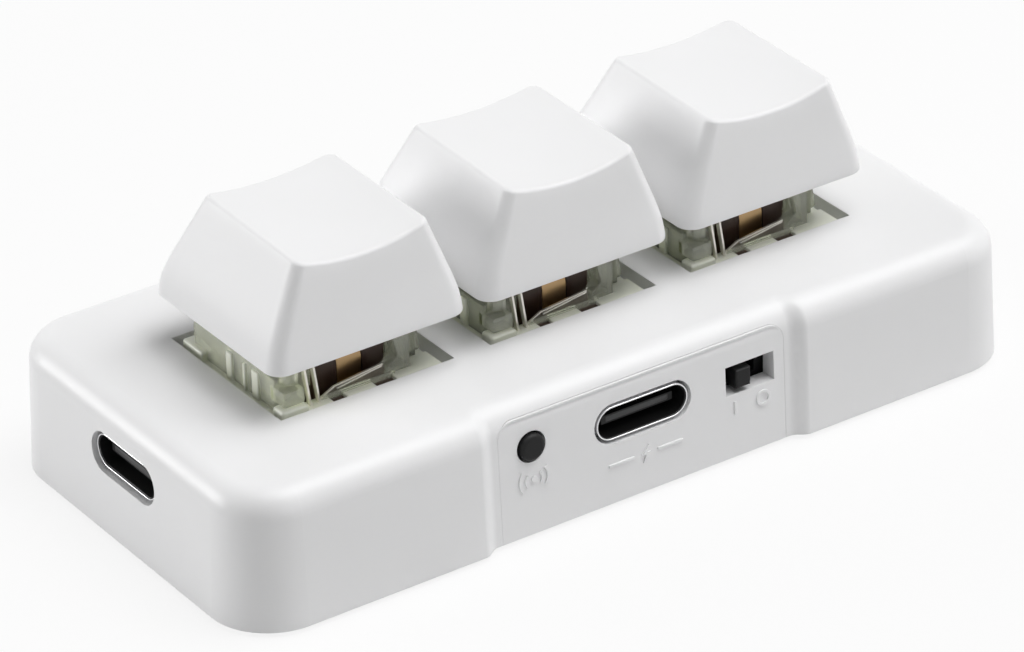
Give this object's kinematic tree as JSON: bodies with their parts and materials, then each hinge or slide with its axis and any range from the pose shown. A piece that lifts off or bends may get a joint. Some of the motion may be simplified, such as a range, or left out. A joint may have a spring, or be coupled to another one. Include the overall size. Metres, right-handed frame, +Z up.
{
  "type": "macro keypad",
  "caption": "Low rounded desk keypad with a row of square sprung keys, a recessed front panel with a round button, an oval socket and a slide switch, and a second socket in one end.",
  "frame": {"origin": "on the desk under the middle of the case", "axes": "+X along the row of keys, +Y to the back, away from the connection panel, +Z up"},
  "size_m": [0.0732, 0.0358, 0.0248],
  "materials": {
    "case_white": "satin moulded",
    "cap_white": "fine matt",
    "milky_green": "translucent moulded",
    "clear": "clear moulded",
    "stem_brown": "smooth",
    "spring_steel": "drawn wire",
    "copper": "rolled strip",
    "socket_steel": "plated",
    "black_plastic": "moulded",
    "board": "solder mask",
    "cell_wrap": "foil",
    "chip_black": "moulded",
    "screw_steel": "zinc plated",
    "foot_rubber": "matt"
  },
  "bodies": {
    "base": {"top_shell": "case_white", "bottom_cover": "case_white", "cover_screws": "screw_steel", "rubber_feet": "foot_rubber", "main_board": "board", "front_board": "board", "side_board": "board", "front_socket_shell": "socket_steel", "front_socket_core": "black_plastic", "side_socket_shell": "socket_steel", "side_socket_core": "black_plastic", "tact_switch_body": "black_plastic", "slide_switch_base": "black_plastic", "slide_switch_can": "socket_steel", "battery_cell": "cell_wrap", "battery_tabs": "socket_steel", "radio_can": "socket_steel", "controller_chip": "chip_black", "crystal_can": "socket_steel", "charge_chip": "chip_black", "small_parts": "chip_black", "lower_housing_left": "milky_green", "upper_housing_left": "clear", "contact_leaf_left": "copper", "contact_pins_left": "copper", "spring_left": "spring_steel", "lower_housing_middle": "milky_green", "upper_housing_middle": "clear", "contact_leaf_middle": "copper", "contact_pins_middle": "copper", "spring_middle": "spring_steel", "lower_housing_right": "milky_green", "upper_housing_right": "clear", "contact_leaf_right": "copper", "contact_pins_right": "copper", "spring_right": "spring_steel"},
    "key_left": {"keycap_left": "cap_white", "stem_left": "stem_brown"},
    "key_middle": {"keycap_middle": "cap_white", "stem_middle": "stem_brown"},
    "key_right": {"keycap_right": "cap_white", "stem_right": "stem_brown"},
    "connect_button": {"connect_button": "black_plastic"},
    "power_slider": {"power_slider": "black_plastic"}
  },
  "joints": [
    {"name": "key_left_press", "type": "slide", "parent": "base", "child": "key_left", "axis": [0, 0, -1], "range_m": [0, 0.004], "stiffness_N_per_m": 75, "springref_m": -0.004, "deforming": ["spring_left"]},
    {"name": "key_middle_press", "type": "slide", "parent": "base", "child": "key_middle", "axis": [0, 0, -1], "range_m": [0, 0.004], "stiffness_N_per_m": 75, "springref_m": -0.004, "deforming": ["spring_middle"]},
    {"name": "key_right_press", "type": "slide", "parent": "base", "child": "key_right", "axis": [0, 0, -1], "range_m": [0, 0.004], "stiffness_N_per_m": 75, "springref_m": -0.004, "deforming": ["spring_right"]},
    {"name": "connect_button_press", "type": "slide", "parent": "base", "child": "connect_button", "axis": [0, 1, 0], "range_m": [0, 0.0003], "stiffness_N_per_m": 3000, "springref_m": -0.0001},
    {"name": "power_slider_slide", "type": "slide", "parent": "base", "child": "power_slider", "axis": [1, 0, 0], "range_m": [0, 0.0015]}
  ]
}
